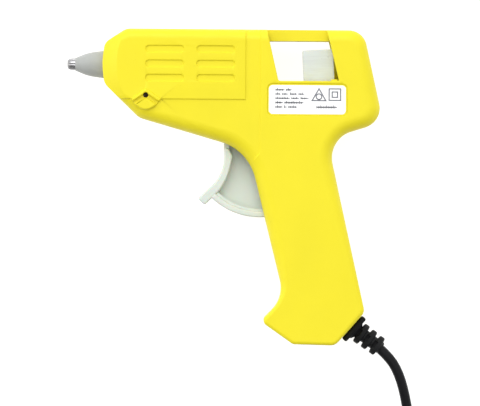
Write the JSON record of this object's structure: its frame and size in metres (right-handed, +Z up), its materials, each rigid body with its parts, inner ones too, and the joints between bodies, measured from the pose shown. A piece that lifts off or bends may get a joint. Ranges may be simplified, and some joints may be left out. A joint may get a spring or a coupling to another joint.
{
  "type": "glue gun",
  "caption": "Small mains hot-melt glue gun for 7 mm sticks: two-shell housing with a window, nozzle with silicone sleeve, trigger feed and a cord with its plug.",
  "frame": {"origin": "middle of the gun's outline in side view, on the surface that the gun lies on with its right side down; the cord and its plug are left out of the outline", "axes": "+X towards the rear of the gun along the barrel, +Y towards the top of the gun, +Z up, out of the gun's left side"},
  "size_m": [0.1339, 0.2159, 0.0278],
  "materials": {
    "yellow_housing": "satin moulded ABS",
    "zinc_steel": "zinc plated",
    "label_film": "satin white film",
    "nozzle_metal": "turned, plated",
    "grey_silicone": "matte silicone",
    "cast_aluminium": "die cast",
    "heater_ceramic": "fired ceramic",
    "contact_brass": "rolled",
    "brown_film": "polyimide film",
    "spring_steel": "drawn wire",
    "clear_silicone": "translucent silicone",
    "trigger_nylon": "moulded nylon",
    "natural_nylon": "translucent moulded nylon",
    "lead_insulation": "extruded",
    "black_plastic": "moulded",
    "black_pvc": "satin PVC"
  },
  "bodies": {
    "housing": {"left_housing": "yellow_housing", "right_housing": "yellow_housing", "housing_screws": "zinc_steel", "rating_label": "label_film", "nozzle_tip": "nozzle_metal", "nozzle_sleeve": "grey_silicone", "melt_chamber": "cast_aluminium", "ptc_heater": "heater_ceramic", "heater_electrodes": "contact_brass", "heater_insulation": "brown_film", "heater_clip": "spring_steel", "inlet_sleeve": "clear_silicone", "inlet_clamp": "spring_steel", "trigger_pin": "zinc_steel", "return_spring": "spring_steel", "lead_wires": "lead_insulation", "wire_crimps": "contact_brass", "cord_clamp": "black_plastic", "clamp_screws": "zinc_steel", "strain_relief": "black_pvc", "cord_inner_end": "black_pvc", "cord": "black_pvc", "cord_coil": "black_pvc", "cord_tail": "black_pvc", "plug_body": "black_pvc", "plug_pins": "contact_brass"},
    "trigger": {"trigger": "trigger_nylon", "link_pin": "zinc_steel"},
    "link": {"drive_link": "trigger_nylon"},
    "gripper": {"gripper": "natural_nylon", "gripper_pin": "zinc_steel"}
  },
  "joints": [
    {"name": "trigger_pivot", "type": "hinge", "parent": "housing", "child": "trigger", "pos_m": [0.01394, 0.01486, 0.0139], "axis": [0, 0, 1], "range_deg": [0, 24.4], "stiffness_Nm_per_rad": 0.05, "springref_deg": -34.38, "deforming": ["return_spring"]},
    {"name": "link_pivot", "type": "hinge", "parent": "trigger", "child": "link", "pos_m": [0.01838, 0.03538, 0.0139], "axis": [0, 0, 1], "range_deg": [-24.4, 0]},
    {"name": "gripper_slide", "type": "slide", "parent": "housing", "child": "gripper", "axis": [-1, 0, 0], "range_m": [0, 0.00888]}
  ],
  "couplings": [
    {"joint": "link_pivot", "follows": "trigger_pivot", "ratio": -1},
    {"joint": "gripper_slide", "follows": "trigger_pivot", "m_per_rad": 0.020842}
  ]
}
